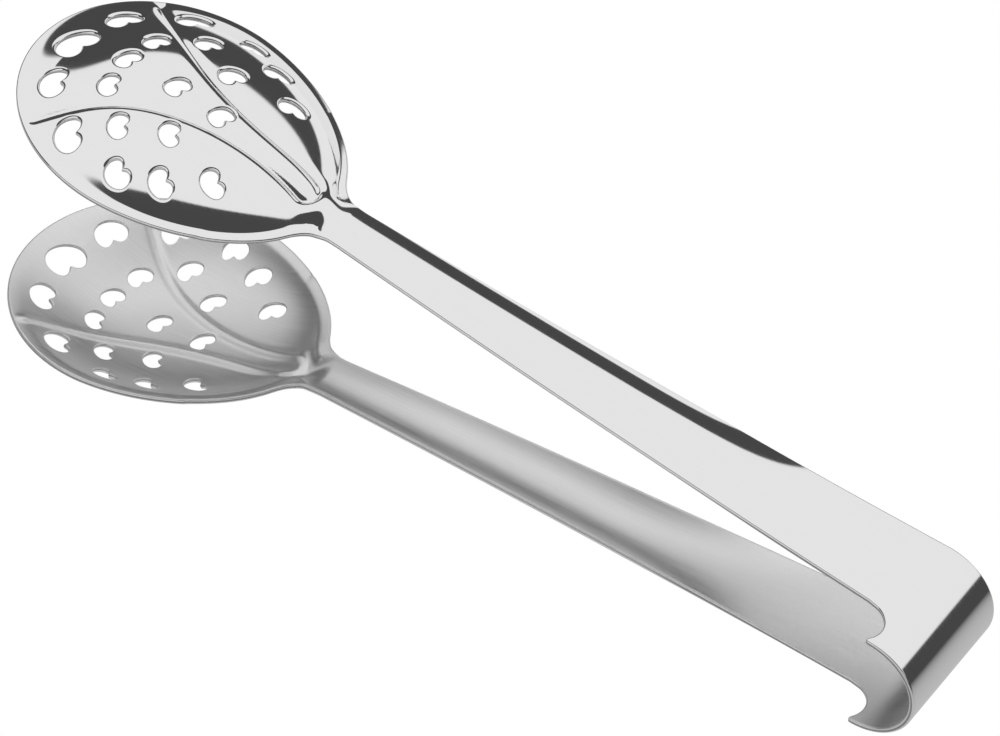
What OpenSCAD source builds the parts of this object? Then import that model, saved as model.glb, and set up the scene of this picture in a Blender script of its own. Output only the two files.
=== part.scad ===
// Serving tongs made of one strip of stainless steel.
// The strip is stamped, pressed and bent: a round bow at the back carries two springy arms,
// and each arm ends in an egg-shaped bowl with drain holes and a hairpin-shaped stiffening rib.
// A hook beside the bow hangs the tongs on the edge of a pot or a dish.
// The tongs stand as they do on a table, on the lower bowl and the underside of the bow.

/* [Overall] */
// Length from the outside of the bow to the tips of the bowls
overall_length = 220.7; // [190:0.1:280]
// Thickness of the sheet
sheet = 1.2; // [0.8:0.1:1.6]

/* [Bow and hook] */
// Outer radius of the bow
bow_radius = 12; // [9:0.1:16]
// Width of the strip at the bow, without the hook
bow_width = 21.9; // [16:0.1:30]
// Reach of the hook past the edge of the strip
hook_reach = 8.7; // [7:0.1:14]
// Radius of the notch between the hook and the arm
notch_radius = 4.8; // [2.5:0.1:6]
// How far the tip of the hook leans back over the notch
hook_lean = 1.5; // [0.4:0.1:2.4]

/* [Arms] */
// Width of an arm at the neck of its bowl
neck_width = 11; // [8:0.1:14]
// Angle of an arm to the mid-plane beside the bow
arm_angle = 2.5; // [1:0.1:6]
// Rise of the arched cross-section where it is fullest
arch_rise = 3.1; // [1:0.1:4]
// Rise of the arched cross-section at the neck
neck_rise = 1.1; // [0.5:0.1:3]
// Length of the flat stretch beside the bow
flat_length = 19; // [15:1:50]
// Length over which the flat stretch turns into the full arch
arch_fade = 47; // [15:1:60]
// Length of the neck between the arm and the rim of the bowl
neck_length = 6; // [4:0.5:10]

/* [Bowls] */
// Width of a bowl over its rim
bowl_width = 59; // [46:0.5:75]
// Distance from the widest place of the rim to the tip
bowl_tip = 31.8; // [25:0.1:40]
// Distance from the widest place of the rim to the neck
bowl_neck = 38.3; // [30:0.1:48]
// Depth of a bowl
bowl_depth = 8.4; // [6:0.1:13]
// Width of the sloping flange round a bowl
flange = 2; // [1:0.1:4]
// Part of the depth that the slope of the flange gives
rim_rise = 3.8; // [1:0.1:5]
// Angle of the rim to the mid-plane
rim_angle = 5.8; // [2:0.1:9]
// Distance before the end of the rim at which its fillet into the arm starts
fillet_start = 2.8; // [1:0.1:6]
// Distance past the end of the rim at which its fillet ends on the arm
fillet_end = 5.5; // [2:0.1:6]
// Rise of the saddle between the bowl and its neck
saddle_rise = 3; // [1:0.1:4]

/* [Ribs] */
// Depth of the pressed rib at the rim
rib_depth = 0.5; // [0.2:0.1:1.2]
// Depth of the pressed rib at its hairpin bend
rib_bend_depth = 0.7; // [0.2:0.1:1.2]
// Width of the pressed rib
rib_width = 3; // [2:0.1:5]
// Half the distance between the legs of the rib at the neck
rib_neck = 3; // [2:0.1:4]
// Distance of each leg from the axis where it meets the rim
rib_spread = 21.3; // [14:0.1:24]

/* [Drain holes] */
// Length of the holes around the middle
small_hole = 5.6; // [3:0.1:6]
// Length of the holes along the rim
rim_hole = 5.7; // [3:0.1:7]
// Length of the holes on either side of the tip
side_hole = 7.3; // [4:0.1:8]
// Length of the hole at the tip
tip_hole = 9.2; // [4:0.1:10]
// Width of a hole as a share of its length
hole_shape = 0.8; // [0.5:0.01:0.9]
// Depth of the notch in a hole as a share of its half width
hole_notch = 0.6; // [0:0.01:0.7]

/* [Hidden] */

$fn = 96;

// The strip is drawn with the axis of the bow at the origin, the bowls towards -X
// and the two halves mirrored about z = 0. Heights are those of the middle of the sheet.
bow_middle = bow_radius - sheet / 2;
half_bow = bow_width / 2;
half_neck = neck_width / 2;
half_bowl = bowl_width / 2;

// Line where an arm meets the bow
join_x = bow_middle * sin(arm_angle);
join_z = bow_middle * cos(arm_angle);

// Places along the strip
tip_x = bow_radius - overall_length;
widest_x = tip_x + bowl_tip;
rim_end_x = widest_x + bowl_neck;
neck_x = rim_end_x + neck_length;
arm_length = join_x - neck_x;

// The pointed neck side of the rim is a superellipse, the tip side an ellipse
neck_power = 1.77;
tip_power = 2;

// Fullness of the dome at the widest place, how much it grows towards the neck per mm,
// and how much more it swells there per square mm
dome_power = 1.6;
dome_power_growth = 0.043;
dome_power_swell = 0.0009;
least_dome_power = 0.6;
// Softness of the foot of the dome, where it meets the flange
foot = 0.3;

// Power of the arched cross-section, how far it reaches past the arm's edge under the dome,
// and how far it stays inside that edge where the flange goes round the neck
arch_power = 2.2;
saddle_flare = 4;
saddle_inset = 1.2;
// Power with which the legs of the rib spread
rib_power = 2.3;

// Depth to which the tip of the hook is rooted in the bow
hook_root = 0.3;

// Softness of the valleys where the dome meets the arch
valley = 0.5;
// Where the saddle ends, as a share of the neck, the length over which it rises from there,
// and the length over which it runs out under the dome
saddle_end = 0.65;
saddle_climb = 5;
saddle_run = 8;
// Egg measure at which the rib starts to run out in the flange, and over how much of it
rib_fade_start = 0.95;
rib_fade_span = 0.2;
// Depth to which the flange round the neck sinks out of the way under the bowl, and its softness
flange_sink = 1.2;
flange_softness = 0.1;
// Step for slopes of the pressed surface, and for the slope of the rim
step = 0.05;
step_small = 0.01;

// Rows, rings and sectors of the pressed surfaces
arm_stations = 24;
arm_columns = 8;
notch_stations = 6;
dome_rings = 13;
flange_rings = 3;
rim_sectors = 60;

// Outline of a hole: angle between its points, angle over which the notch spreads,
// and how much fuller one lobe is than the other
bean_step = 15;
notch_spread = 25;
lobe_difference = 0.12;

// Pairs of holes: share of the way from the widest place to the tip (below 0) or the neck,
// share of the half width, turn of the notch towards the axis, and length
hole_pairs = [
    [-0.650, 0.399, 30, side_hole],
    [-0.316, 0.269, 28, small_hole],
    [-0.312, 0.711, 42, side_hole],
    [-0.075, 0.509, 34, small_hole],
    [0.177, 0.356, 34, small_hole],
    [0.087, 0.775, 72, rim_hole],
    [0.301, 0.666, 64, rim_hole],
    [0.510, 0.457, 64, rim_hole],
];
// Turn of the holes on the axis
axis_turn = -18;
// Holes on the axis: share of the way to the tip or the neck, and length
hole_axis = [
    [-0.741, tip_hole],
    [-0.354, small_hole],
    [0.023, small_hole],
    [0.305, small_hole],
];

function clamp01(t) = min(1, max(0, t));
function ease(t) = let (u = clamp01(t)) u * u * (3 - 2 * u);
function soft_max(a, b, k) = (a + b + sqrt((a - b) * (a - b) + k * k)) / 2;

// Half width of an arm between the neck and the bow
function arm_half(x) = half_neck + (half_bow - half_neck) * clamp01((x - neck_x) / arm_length);

// Height of the edges of the strip: the arm curves from its own angle to the angle of the rim
function edge_z(x) =
    let (run = min(join_x - x, arm_length), beyond = max(neck_x - x, 0))
    let (bend = (tan(rim_angle) - tan(arm_angle)) / (2 * arm_length))
    join_z + tan(arm_angle) * run + bend * run * run + tan(rim_angle) * beyond;

// Height of the arched cross-section above the edges. The arch grows from the neck to the flat
// stretch, where it fades, and from the neck to the saddle. The saddle runs out under the dome,
// between one and two of its run lengths inside the end of the rim. It falls on past its edges.
function saddle_share(x) = ease((rim_end_x + saddle_end * neck_length - x) / saddle_climb);
function crown(x) =
    let (grown = clamp01((x - neck_x) / (arm_length - flat_length)))
    let (saddle = (saddle_rise - neck_rise) * saddle_share(x))
    let (rise = neck_rise + (arch_rise - neck_rise) * grown + saddle)
    rise * ease((join_x - flat_length - x) / arch_fade) * ease((x - rim_end_x) / saddle_run + 2);
function arch(x, y) =
    let (under = ease((rim_end_x - x) / neck_length))
    let (wider = saddle_flare * under - saddle_inset * saddle_share(x) * (1 - under))
    let (across = abs(y) / (arm_half(x) + wider))
    crown(x) * (1 - pow(across, arch_power));

// Egg measure of a place in a bowl: 1 on an outline that lies the inset inside the rim
function egg(x, y, inset) =
    let (along = x - widest_x, far = along < 0 ? bowl_tip : bowl_neck)
    let (power = along < 0 ? tip_power : neck_power)
    pow(abs(along) / (far - inset), power) + pow(abs(y) / (half_bowl - inset), 2);

// Half width of the strip past the widest place: the rim, a fillet as a cubic curve that leaves
// the rim in its own direction and meets the arm lengthwise, and the arm
function rim_half(x) = half_bowl * sqrt(max(0, 1 - pow(max(0, x - widest_x) / bowl_neck, neck_power)));
fillet_x0 = rim_end_x - fillet_start;
fillet_x1 = rim_end_x + fillet_end;
fillet_run = fillet_x1 - fillet_x0;
fillet_slope = (rim_half(fillet_x0 + step_small) - rim_half(fillet_x0 - step_small)) / (2 * step_small);
function fillet_half(t) =
    (1 + 2 * t) * (1 - t) * (1 - t) * rim_half(fillet_x0)
    + t * (1 - t) * (1 - t) * fillet_run * fillet_slope
    + t * t * (3 - 2 * t) * half_neck;
function strip_half(x) =
    x <= fillet_x0 ? rim_half(x)
    : x >= fillet_x1 ? arm_half(x)
    : fillet_half((x - fillet_x0) / fillet_run);

// Distance from the widest place to an egg outline along a ray, by halving
function egg_radius(angle, inset, low = 0, high = 2 * bowl_width, turns = 24) =
    let (r = (low + high) / 2)
    turns == 0 ? r
    : egg(widest_x + r * cos(angle), r * sin(angle), inset) < 1
        ? egg_radius(angle, inset, r, high, turns - 1)
        : egg_radius(angle, inset, low, r, turns - 1);

// Distance from the widest place to the edge of the strip along a ray towards the neck, by halving
function edge_radius(angle, low = 0, high = 2 * bowl_width, turns = 24) =
    let (r = (low + high) / 2)
    turns == 0 ? r
    : r * abs(sin(angle)) < strip_half(widest_x + r * cos(angle))
        ? edge_radius(angle, r, high, turns - 1)
        : edge_radius(angle, low, r, turns - 1);

// Distance of the legs of the rib from the axis: they spread from the hairpin bend to the rim
rib_apex_x = rim_end_x - 2 * rib_neck;
rib_start_x = rib_apex_x - neck_length;
widest_spread = 0.95;
rib_share = min(widest_spread, rib_spread / (half_bowl - flange));
rib_end_x = widest_x - (bowl_tip - flange) * sqrt(1 - rib_share * rib_share);
rib_run = rib_start_x - rib_end_x;
function rib_reach(x) = max(0, (rib_start_x - x) / rib_run);
function rib_leg(x) = rib_neck + (rib_spread - rib_neck) * pow(rib_reach(x), rib_power);
function rib_slope(x) =
    rib_power * (rib_spread - rib_neck) * pow(rib_reach(x), rib_power - 1) / rib_run;

// Distance of a place from the hairpin line of the rib
function rib_distance(x, y) =
    x > rib_apex_x
        ? norm([x - rib_apex_x, y]) - rib_neck
        : (abs(y) - rib_leg(x)) / norm([1, rib_slope(x)]);

// Depth of the pressed rib, which runs out in the flange
function rib(x, y) =
    let (off = rib_distance(x, y) / (rib_width / 2))
    let (depth = rib_bend_depth + (rib_depth - rib_bend_depth) * clamp01(rib_reach(x)))
    depth * exp(-2 * off * off) * (1 - ease((egg(x, y, flange) - rib_fade_start) / rib_fade_span));

// Height of the pressed bowl above the edge of its rim: a dome on a flange that slopes up
// from the edge and goes on rising under the dome
function dome(x, y) =
    let (along = x - widest_x, swell = dome_power_swell * pow(max(0, along), 2))
    let (power = max(least_dome_power, dome_power + dome_power_growth * along + swell))
    let (wall = bowl_depth - rim_rise)
    let (rise = wall * (1 - pow(egg(x, y, flange), power)))
    soft_max(rise, 0, foot) - soft_max(-wall, 0, foot) + rim_rise * (1 - egg(x, y, 0));

// Height of the flange that goes on round the neck: as steep as that of the rim where the fillet
// starts, and in proportion to the distance square to the edge of the strip
flange_slope = rim_rise * norm([
    neck_power * pow(1 - fillet_start / bowl_neck, neck_power - 1) / bowl_neck,
    2 * rim_half(fillet_x0) / (half_bowl * half_bowl)
]);
function strip_slope(x) = (strip_half(x + step_small) - strip_half(x - step_small)) / (2 * step_small);
function neck_flange(x, y) =
    let (at = max(widest_x, x))
    let (inside = (strip_half(at) - abs(y)) / norm([1, strip_slope(at)]))
    let (sunk = 1 - ease((x - fillet_x0) / (2 * fillet_start) + 1))
    flange_slope * min(flange, inside) - flange_sink * sunk;

function bowl_height(x, y) =
    soft_max(soft_max(dome(x, y), arch(x, y), valley), neck_flange(x, y), flange_softness) - rib(x, y);

// Points of the pressed sheet: its middle, and its two faces half a sheet to either side
function arm_point(x, y) = [x, y, edge_z(x) + arch(x, y)];
function bowl_point(x, y) =
    let (share = ease((neck_x - x) / neck_length))
    [x, y, edge_z(x) + share * bowl_height(x, y) + (1 - share) * arch(x, y)];
function sheet_point(x, y, in_bowl) = in_bowl ? bowl_point(x, y) : arm_point(x, y);
function normal(x, y, in_bowl) =
    let (along = sheet_point(x + step, y, in_bowl) - sheet_point(x - step, y, in_bowl))
    let (across = sheet_point(x, y + step, in_bowl) - sheet_point(x, y - step, in_bowl))
    let (n = cross(along, across))
    n / norm(n);
function face_point(x, y, in_bowl, side) =
    sheet_point(x, y, in_bowl) + side * sheet / 2 * normal(x, y, in_bowl);

// Edges of an arm: the far edge is straight, the near edge flares into the notch of the hook
function flare(x) =
    let (in_notch = clamp01((x - join_x) / notch_radius + 1))
    notch_radius * (1 - sqrt(1 - in_notch * in_notch));
arm_xs = concat(
    [for (i = [0:arm_stations - 1]) neck_x + (arm_length - notch_radius) * i / arm_stations],
    [for (i = [0:notch_stations]) join_x - notch_radius * (1 - sin(90 * i / notch_stations))]
);
function arm_y(x, column) =
    let (near = -arm_half(x) - flare(x))
    near + (arm_half(x) - near) * column / arm_columns;

// Directions of the rays of a bowl: across the neck first, then round the rim
neck_turn = atan(half_neck / (neck_x - widest_x));
rim_turn_power = 1.5;
half_sectors = rim_sectors / 2;
rays = concat(
    [for (i = [0:arm_columns]) atan((2 * i / arm_columns - 1) * half_neck / (neck_x - widest_x))],
    [for (i = [1:half_sectors]) neck_turn + (180 - neck_turn) * pow(i / half_sectors, rim_turn_power)],
    [for (i = [half_sectors - 1:-1:1])
        360 - neck_turn - (180 - neck_turn) * pow(i / half_sectors, rim_turn_power)]
);

// Reach of a ray: to the neck line, or to the rim with its fillet into the arm
function ray_reach(angle) =
    cos(angle) <= 0 ? egg_radius(angle, 0) : min((neck_x - widest_x) / cos(angle), edge_radius(angle));

// Distances along a ray: rings over the dome, then rings over the flange or the neck
function ray_stops(angle) =
    let (reach = ray_reach(angle), dome_reach = min(egg_radius(angle, flange), reach - flange / 2))
    concat(
        [for (i = [1:dome_rings]) dome_reach * i / dome_rings],
        [for (i = [1:flange_rings]) dome_reach + (reach - dome_reach) * i / flange_rings]
    );
ray_count = len(rays);
ring_count = dome_rings + flange_rings;
bowl_places = concat(
    [[widest_x, 0]],
    [for (angle = rays)
        for (stop = ray_stops(angle))
            [widest_x + stop * cos(angle), stop * sin(angle)]]
);

// Closed skin of the arm: two faces on a grid, and the strip of edge round them
module arm_shape() {
    rows = len(arm_xs);
    cols = arm_columns + 1;
    skin = rows * cols;
    points = [
        for (side = [1, -1])
            for (x = arm_xs)
                for (c = [0:arm_columns])
                    face_point(x, arm_y(x, c), false, side)
    ];
    border = concat(
        [for (c = [0:cols - 1]) c],
        [for (r = [1:rows - 1]) r * cols + cols - 1],
        [for (c = [cols - 2:-1:0]) (rows - 1) * cols + c],
        [for (r = [rows - 2:-1:1]) r * cols]
    );
    faces = concat(
        [for (r = [0:rows - 2]) for (c = [0:cols - 2])
            let (a = r * cols + c, b = a + cols)
                each [[a, a + 1, b + 1], [a, b + 1, b]]],
        [for (r = [0:rows - 2]) for (c = [0:cols - 2])
            let (a = skin + r * cols + c, b = a + cols)
                each [[a, b + 1, a + 1], [a, b, b + 1]]],
        edge_faces(border, skin)
    );
    polyhedron(points, faces);
}

// Triangles between the border of the outer face and that of the inner face
function edge_faces(border, skin) = [
    for (i = [0:len(border) - 1])
        let (a = border[i], b = border[(i + 1) % len(border)])
            each [[a, b + skin, b], [a, a + skin, b + skin]]
];

// Closed skin of the bowl without its holes: rays of points round the widest place
module bowl_shape() {
    skin = len(bowl_places);
    points = [
        for (side = [1, -1])
            for (p = bowl_places)
                face_point(p[0], p[1], true, side)
    ];
    function spot(ray, ring) = 1 + (ray % ray_count) * ring_count + ring;
    fan = [for (i = [0:ray_count - 1]) [0, spot(i + 1, 0), spot(i, 0)]];
    rings = [
        for (i = [0:ray_count - 1]) for (k = [0:ring_count - 2])
            each [
                [spot(i, k), spot(i + 1, k), spot(i + 1, k + 1)],
                [spot(i, k), spot(i + 1, k + 1), spot(i, k + 1)]
            ]
    ];
    outer = concat(fan, rings);
    inner = [for (f = outer) [f[0] + skin, f[2] + skin, f[1] + skin]];
    border = [for (i = [ray_count - 1:-1:0]) spot(i, ring_count - 1)];
    polyhedron(points, concat(outer, inner, edge_faces(border, skin)));
}

// Bean-shaped outline of a drain hole with its notch on the +X side and one lobe fuller
module bean(length) {
    half = length / 2;
    polygon([
        for (t = [0:bean_step:360 - bean_step])
            let (turn = t > 180 ? t - 360 : t)
            let (r = half * (1 - hole_notch * exp(-pow(turn / notch_spread, 2))))
                [hole_shape * r * (1 - lobe_difference * sin(t)) * cos(t), r * sin(t)]
    ]);
}

module drill(along, across, turn, length) {
    x = widest_x + along * (along < 0 ? bowl_tip : bowl_neck);
    translate([x, across * half_bowl, 0])
        linear_extrude(height = edge_z(tip_x) + 2 * bowl_depth)
            rotate(turn)
                bean(length);
}

// Upper half of the strip, which the lower half mirrors
module bowl() {
    difference() {
        bowl_shape();
        for (h = hole_axis)
            drill(h[0], 0, axis_turn, h[1]);
        for (h = hole_pairs)
            for (side = [0, 1])
                mirror([0, side, 0])
                    drill(h[0], h[1], -h[2], h[3]);
    }
}

// Tip of the hook beyond the notch, in the plane of the arm. It is rooted a little way inside
// the bow and thinner by a hair, so that its faces stay within those of the bow.
module hook_tip() {
    hook_edge = -half_bow - hook_reach;
    notch_edge = -half_bow - notch_radius;
    hair = hook_root * hook_root / (bow_radius - sheet);
    rotate([0, arm_angle, 0])
        translate([0, 0, bow_radius - sheet + hair])
            difference() {
                translate([-hook_lean, hook_edge, 0])
                    cube([hook_lean + hook_root, notch_edge - hook_edge, sheet - 2 * hair]);
                translate([-notch_radius, notch_edge, -sheet])
                    cylinder(h = 3 * sheet, r = notch_radius);
            }
}

// Half turn of strip between the two arms, with the hook standing out on one side
module bow_shape() {
    sweep = 180 - 2 * arm_angle;
    union() {
        rotate([90, 0, 0])
            rotate(-sweep / 2)
                rotate_extrude(angle = sweep)
                    translate([bow_radius - sheet, -half_bow])
                        square([sheet, bow_width + hook_reach]);
        hook_tip();
        mirror([0, 0, 1]) hook_tip();
    }
}

// Pose on a table: the lower bowl and the bow touch it, and the middle of the outline is at 0, 0
outer_points = [for (p = bowl_places) face_point(p[0], p[1], true, 1)];
function tilt_onto(p) = atan2(p[2], -p[0]) - asin(bow_radius / norm([p[0], p[2]]));
rest_tilt = max([for (p = outer_points) tilt_onto(p)]);
tip_edge = face_point(tip_x, 0, true, 1);
front_x = tip_edge[0] * cos(rest_tilt) - tip_edge[2] * sin(rest_tilt);
middle_x = (front_x + bow_radius) / 2;

module placed() {
    translate([-middle_x, 0, bow_radius])
        rotate([0, rest_tilt, 0])
            children();
}

module lower() {
    mirror([0, 0, 1]) children();
}

module bow() {
    color("#d9dadb") placed() bow_shape();
}

module upper_arm() {
    color("#e2e3e4") placed() arm_shape();
}

module lower_arm() {
    color("#c3c4c6") placed() lower() arm_shape();
}

module upper_bowl() {
    color("#e8e9ea") placed() bowl();
}

module lower_bowl() {
    color("#b9babc") placed() lower() bowl();
}

bow();
upper_arm();
lower_arm();
upper_bowl();
lower_bowl();
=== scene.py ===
import logging
import math
from collections.abc import Callable
from dataclasses import dataclass
from enum import Enum

import bpy
import numpy as np
from bpy.types import Material, Node, NodeSocket as Socket, NodeTree as Tree, Object
from mathutils import Matrix, Vector
from mathutils.geometry import delaunay_2d_cdt


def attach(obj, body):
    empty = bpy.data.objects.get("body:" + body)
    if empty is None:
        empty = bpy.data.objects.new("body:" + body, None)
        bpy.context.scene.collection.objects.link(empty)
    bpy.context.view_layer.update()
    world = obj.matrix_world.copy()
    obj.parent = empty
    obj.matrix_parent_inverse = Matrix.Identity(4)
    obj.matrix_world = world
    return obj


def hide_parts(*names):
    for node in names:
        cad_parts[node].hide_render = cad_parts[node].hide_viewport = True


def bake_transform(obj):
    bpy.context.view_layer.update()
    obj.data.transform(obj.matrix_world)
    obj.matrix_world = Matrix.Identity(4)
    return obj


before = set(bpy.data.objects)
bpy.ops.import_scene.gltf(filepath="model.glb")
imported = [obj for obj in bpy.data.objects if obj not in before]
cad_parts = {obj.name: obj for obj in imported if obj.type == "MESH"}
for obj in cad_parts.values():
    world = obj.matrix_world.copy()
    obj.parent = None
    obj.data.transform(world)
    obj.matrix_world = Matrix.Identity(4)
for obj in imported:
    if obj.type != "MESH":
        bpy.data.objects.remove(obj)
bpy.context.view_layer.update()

MM = 0.001
LEAST_STEPS = 3

Array = np.ndarray
Surface = Callable[[Array], tuple[Array, Array]]
Planes = tuple[tuple[float, float, float], ...]
log = logging.getLogger("serving_tongs")


class Half(Enum):
    """The two mirrored halves of the strip."""

    UPPER = 1
    LOWER = -1

    @property
    def label(self) -> str:
        """Name of the half as it stands in node and body names."""
        return self.name.lower()


class Face(Enum):
    """The three kinds of face on a piece of sheet, in the order of its materials."""

    OUTER = 0
    INNER = 1
    EDGE = 2


Materials = dict[Face, Material]


def linear(code: str) -> tuple[float, float, float, float]:
    """Turn an sRGB hex colour such as "#c0c0c0" into linear RGBA with full alpha."""
    parts = [int(code[i:i + 2], 16) / 255 for i in (1, 3, 5)]
    return (*[c / 12.92 if c <= 0.04045 else ((c + 0.055) / 1.055) ** 2.4 for c in parts], 1.0)


def clamp01(t: Array) -> Array:
    """Hold values between 0 and 1."""
    return np.clip(t, 0.0, 1.0)


def ease(t: Array) -> Array:
    """Smooth step from 0 to 1: three t squared minus two t cubed, held outside."""
    u = clamp01(t)
    return u * u * (3 - 2 * u)


def soft_max(a: Array, b: Array | float, k: float) -> Array:
    """Larger of a and b with a rounded corner: half of a + b + the root of (a - b) squared + k squared."""
    return (a + b + np.sqrt((a - b) ** 2 + k * k)) / 2


def unit(v: Array) -> Array:
    """Rows of an array scaled to length 1."""
    return v / np.linalg.norm(v, axis=-1, keepdims=True)


def rows(*columns: Array) -> Array:
    """Rows of an array from its columns."""
    return np.stack(columns, axis=-1)


@dataclass(frozen=True)
class Strip:
    """The bent strip of sheet: its sizes in millimetres and degrees, and the formulas of its surface.

    The axis of the bow is the Y axis, the bowls lie towards -X, and the lower half mirrors the upper one
    about z = 0. Heights are those of the middle of the sheet.
    """

    overall_length: float = 220.7
    sheet: float = 1.2
    bow_radius: float = 12.0
    bow_width: float = 21.9
    hook_reach: float = 8.7
    notch_radius: float = 4.8
    hook_lean: float = 1.5
    neck_width: float = 11.0
    arm_angle: float = 2.5
    arch_rise: float = 3.1
    arch_power: float = 2.2
    neck_rise: float = 1.1
    flat_length: float = 19.0
    arch_fade: float = 47.0
    neck_length: float = 6.0
    bowl_width: float = 59.0
    bowl_tip: float = 31.8
    bowl_neck: float = 38.3
    bowl_depth: float = 8.4
    flange: float = 2.0
    rim_rise: float = 3.8
    rim_angle: float = 5.8
    fillet_start: float = 2.8
    fillet_end: float = 5.5
    saddle_rise: float = 3.0
    saddle_flare: float = 4.0
    saddle_inset: float = 1.2
    saddle_end: float = 0.65
    saddle_climb: float = 5.0
    saddle_run: float = 8.0
    rib_depth: float = 0.5
    rib_bend_depth: float = 0.7
    rib_width: float = 3.0
    rib_neck: float = 3.0
    rib_spread: float = 21.3
    rib_power: float = 2.3
    neck_power: float = 1.77
    tip_power: float = 2.0
    dome_power: float = 1.6
    dome_power_growth: float = 0.043
    dome_power_swell: float = 0.0009
    least_dome_power: float = 0.6
    foot: float = 0.3
    valley: float = 0.5
    rib_fade_start: float = 0.95
    rib_fade_span: float = 0.2
    flange_sink: float = 1.2
    flange_softness: float = 0.1
    slope_step: float = 0.02
    seam_margin: float = 1.0
    rest_tilt: float = 7.2495
    rest_shift: float = 99.3993

    @property
    def bow_middle(self) -> float:
        """Radius of the middle of the sheet in the bow."""
        return self.bow_radius - self.sheet / 2

    @property
    def half_bow(self) -> float:
        """Half the width of the strip at the bow."""
        return self.bow_width / 2

    @property
    def half_neck(self) -> float:
        """Half the width of an arm at the neck."""
        return self.neck_width / 2

    @property
    def half_bowl(self) -> float:
        """Half the width of a bowl."""
        return self.bowl_width / 2

    @property
    def join_x(self) -> float:
        """Place along X where an arm leaves the bow."""
        return self.bow_middle * math.sin(math.radians(self.arm_angle))

    @property
    def join_z(self) -> float:
        """Height at which an arm leaves the bow."""
        return self.bow_middle * math.cos(math.radians(self.arm_angle))

    @property
    def bow_run(self) -> float:
        """Length of the sheet from the back of the bow to an arm."""
        return self.bow_middle * math.radians(90 - self.arm_angle)

    @property
    def widest_x(self) -> float:
        """Place along X where a bowl is widest."""
        return self.bow_radius - self.overall_length + self.bowl_tip

    @property
    def rim_end_x(self) -> float:
        """Place along X where the egg-shaped rim would end."""
        return self.widest_x + self.bowl_neck

    @property
    def neck_x(self) -> float:
        """Place along X where the bowl piece meets the arm piece."""
        return self.rim_end_x + self.neck_length

    @property
    def arm_length(self) -> float:
        """Length of an arm along X."""
        return self.join_x - self.neck_x

    @property
    def seam_x(self) -> float:
        """Place along X where the arm piece meets the bow piece, just short of the notch."""
        return self.join_x - self.notch_radius - self.seam_margin

    def arm_half(self, x: Array) -> Array:
        """Half width of an arm, which grows evenly from the neck to the bow."""
        grown = clamp01((x - self.neck_x) / self.arm_length)
        return self.half_neck + (self.half_bow - self.half_neck) * grown

    def edge_z(self, x: Array) -> Array:
        """Height of the strip's edges: a parabola from the arm's angle to the rim's, then a straight line.

        Args:
            x: Along the strip.

        Returns:
            The heights.
        """
        rim, arm = (math.tan(math.radians(a)) for a in (self.rim_angle, self.arm_angle))
        run = np.minimum(self.join_x - x, self.arm_length)
        bend = (rim - arm) / (2 * self.arm_length)
        return self.join_z + arm * run + bend * run * run + rim * np.maximum(self.neck_x - x, 0)

    def arch(self, x: Array, y: Array) -> Array:
        """Height of the arched cross-section: one minus a power of the share across, times a crown.

        The crown grows along the arm and fades towards the bow. It rises to a wider saddle at the neck,
        which runs out under the dome.

        Args:
            x: Along the strip.
            y: Across it.

        Returns:
            Heights over the edges.
        """
        grown = clamp01((x - self.neck_x) / (self.arm_length - self.flat_length))
        saddle = ease((self.rim_end_x + self.saddle_end * self.neck_length - x) / self.saddle_climb)
        rise = self.neck_rise + (self.arch_rise - self.neck_rise) * grown
        rise = rise + (self.saddle_rise - self.neck_rise) * saddle
        fade_in = ease((self.join_x - self.flat_length - x) / self.arch_fade)
        fade_out = ease((x - self.rim_end_x) / self.saddle_run + 2)
        under = ease((self.rim_end_x - x) / self.neck_length)
        wider = self.saddle_flare * under - self.saddle_inset * saddle * (1 - under)
        across = np.abs(y) / (self.arm_half(x) + wider)
        return rise * fade_in * fade_out * (1 - across ** self.arch_power)

    def egg(self, x: Array, y: Array, inset: float) -> Array:
        """Egg measure: powers of the shares along and across, which add up to 1 on the inset outline.

        Args:
            x: Along the strip.
            y: Across it.
            inset: Distance of the outline from the rim.

        Returns:
            The measure, below 1 inside.
        """
        along = x - self.widest_x
        far = np.where(along < 0, self.bowl_tip, self.bowl_neck) - inset
        power = np.where(along < 0, self.tip_power, self.neck_power)
        return (np.abs(along) / far) ** power + (np.abs(y) / (self.half_bowl - inset)) ** 2

    def rim_half(self, x: Array) -> Array:
        """Half width of the rim from the widest place to its end, where the egg measure is 1."""
        share = clamp01((x - self.widest_x) / self.bowl_neck)
        return self.half_bowl * np.sqrt(1 - share ** self.neck_power)

    def strip_half(self, x: Array) -> Array:
        """Half width of the strip past the widest place: the rim, a fillet, and the arm.

        The fillet is a cubic curve that leaves the rim in its own direction and meets the arm lengthwise.

        Args:
            x: Along the strip.

        Returns:
            The half widths.
        """
        start, end = self.rim_end_x - self.fillet_start, self.rim_end_x + self.fillet_end
        d = self.slope_step
        slope = (self.rim_half(start + d) - self.rim_half(start - d)) / (2 * d)
        t = clamp01((x - start) / (end - start))
        fillet = (1 + 2 * t) * (1 - t) ** 2 * self.rim_half(start)
        fillet = fillet + t * (1 - t) ** 2 * (end - start) * slope + t * t * (3 - 2 * t) * self.half_neck
        return np.where(x <= start, self.rim_half(x), np.where(x >= end, self.arm_half(x), fillet))

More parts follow.
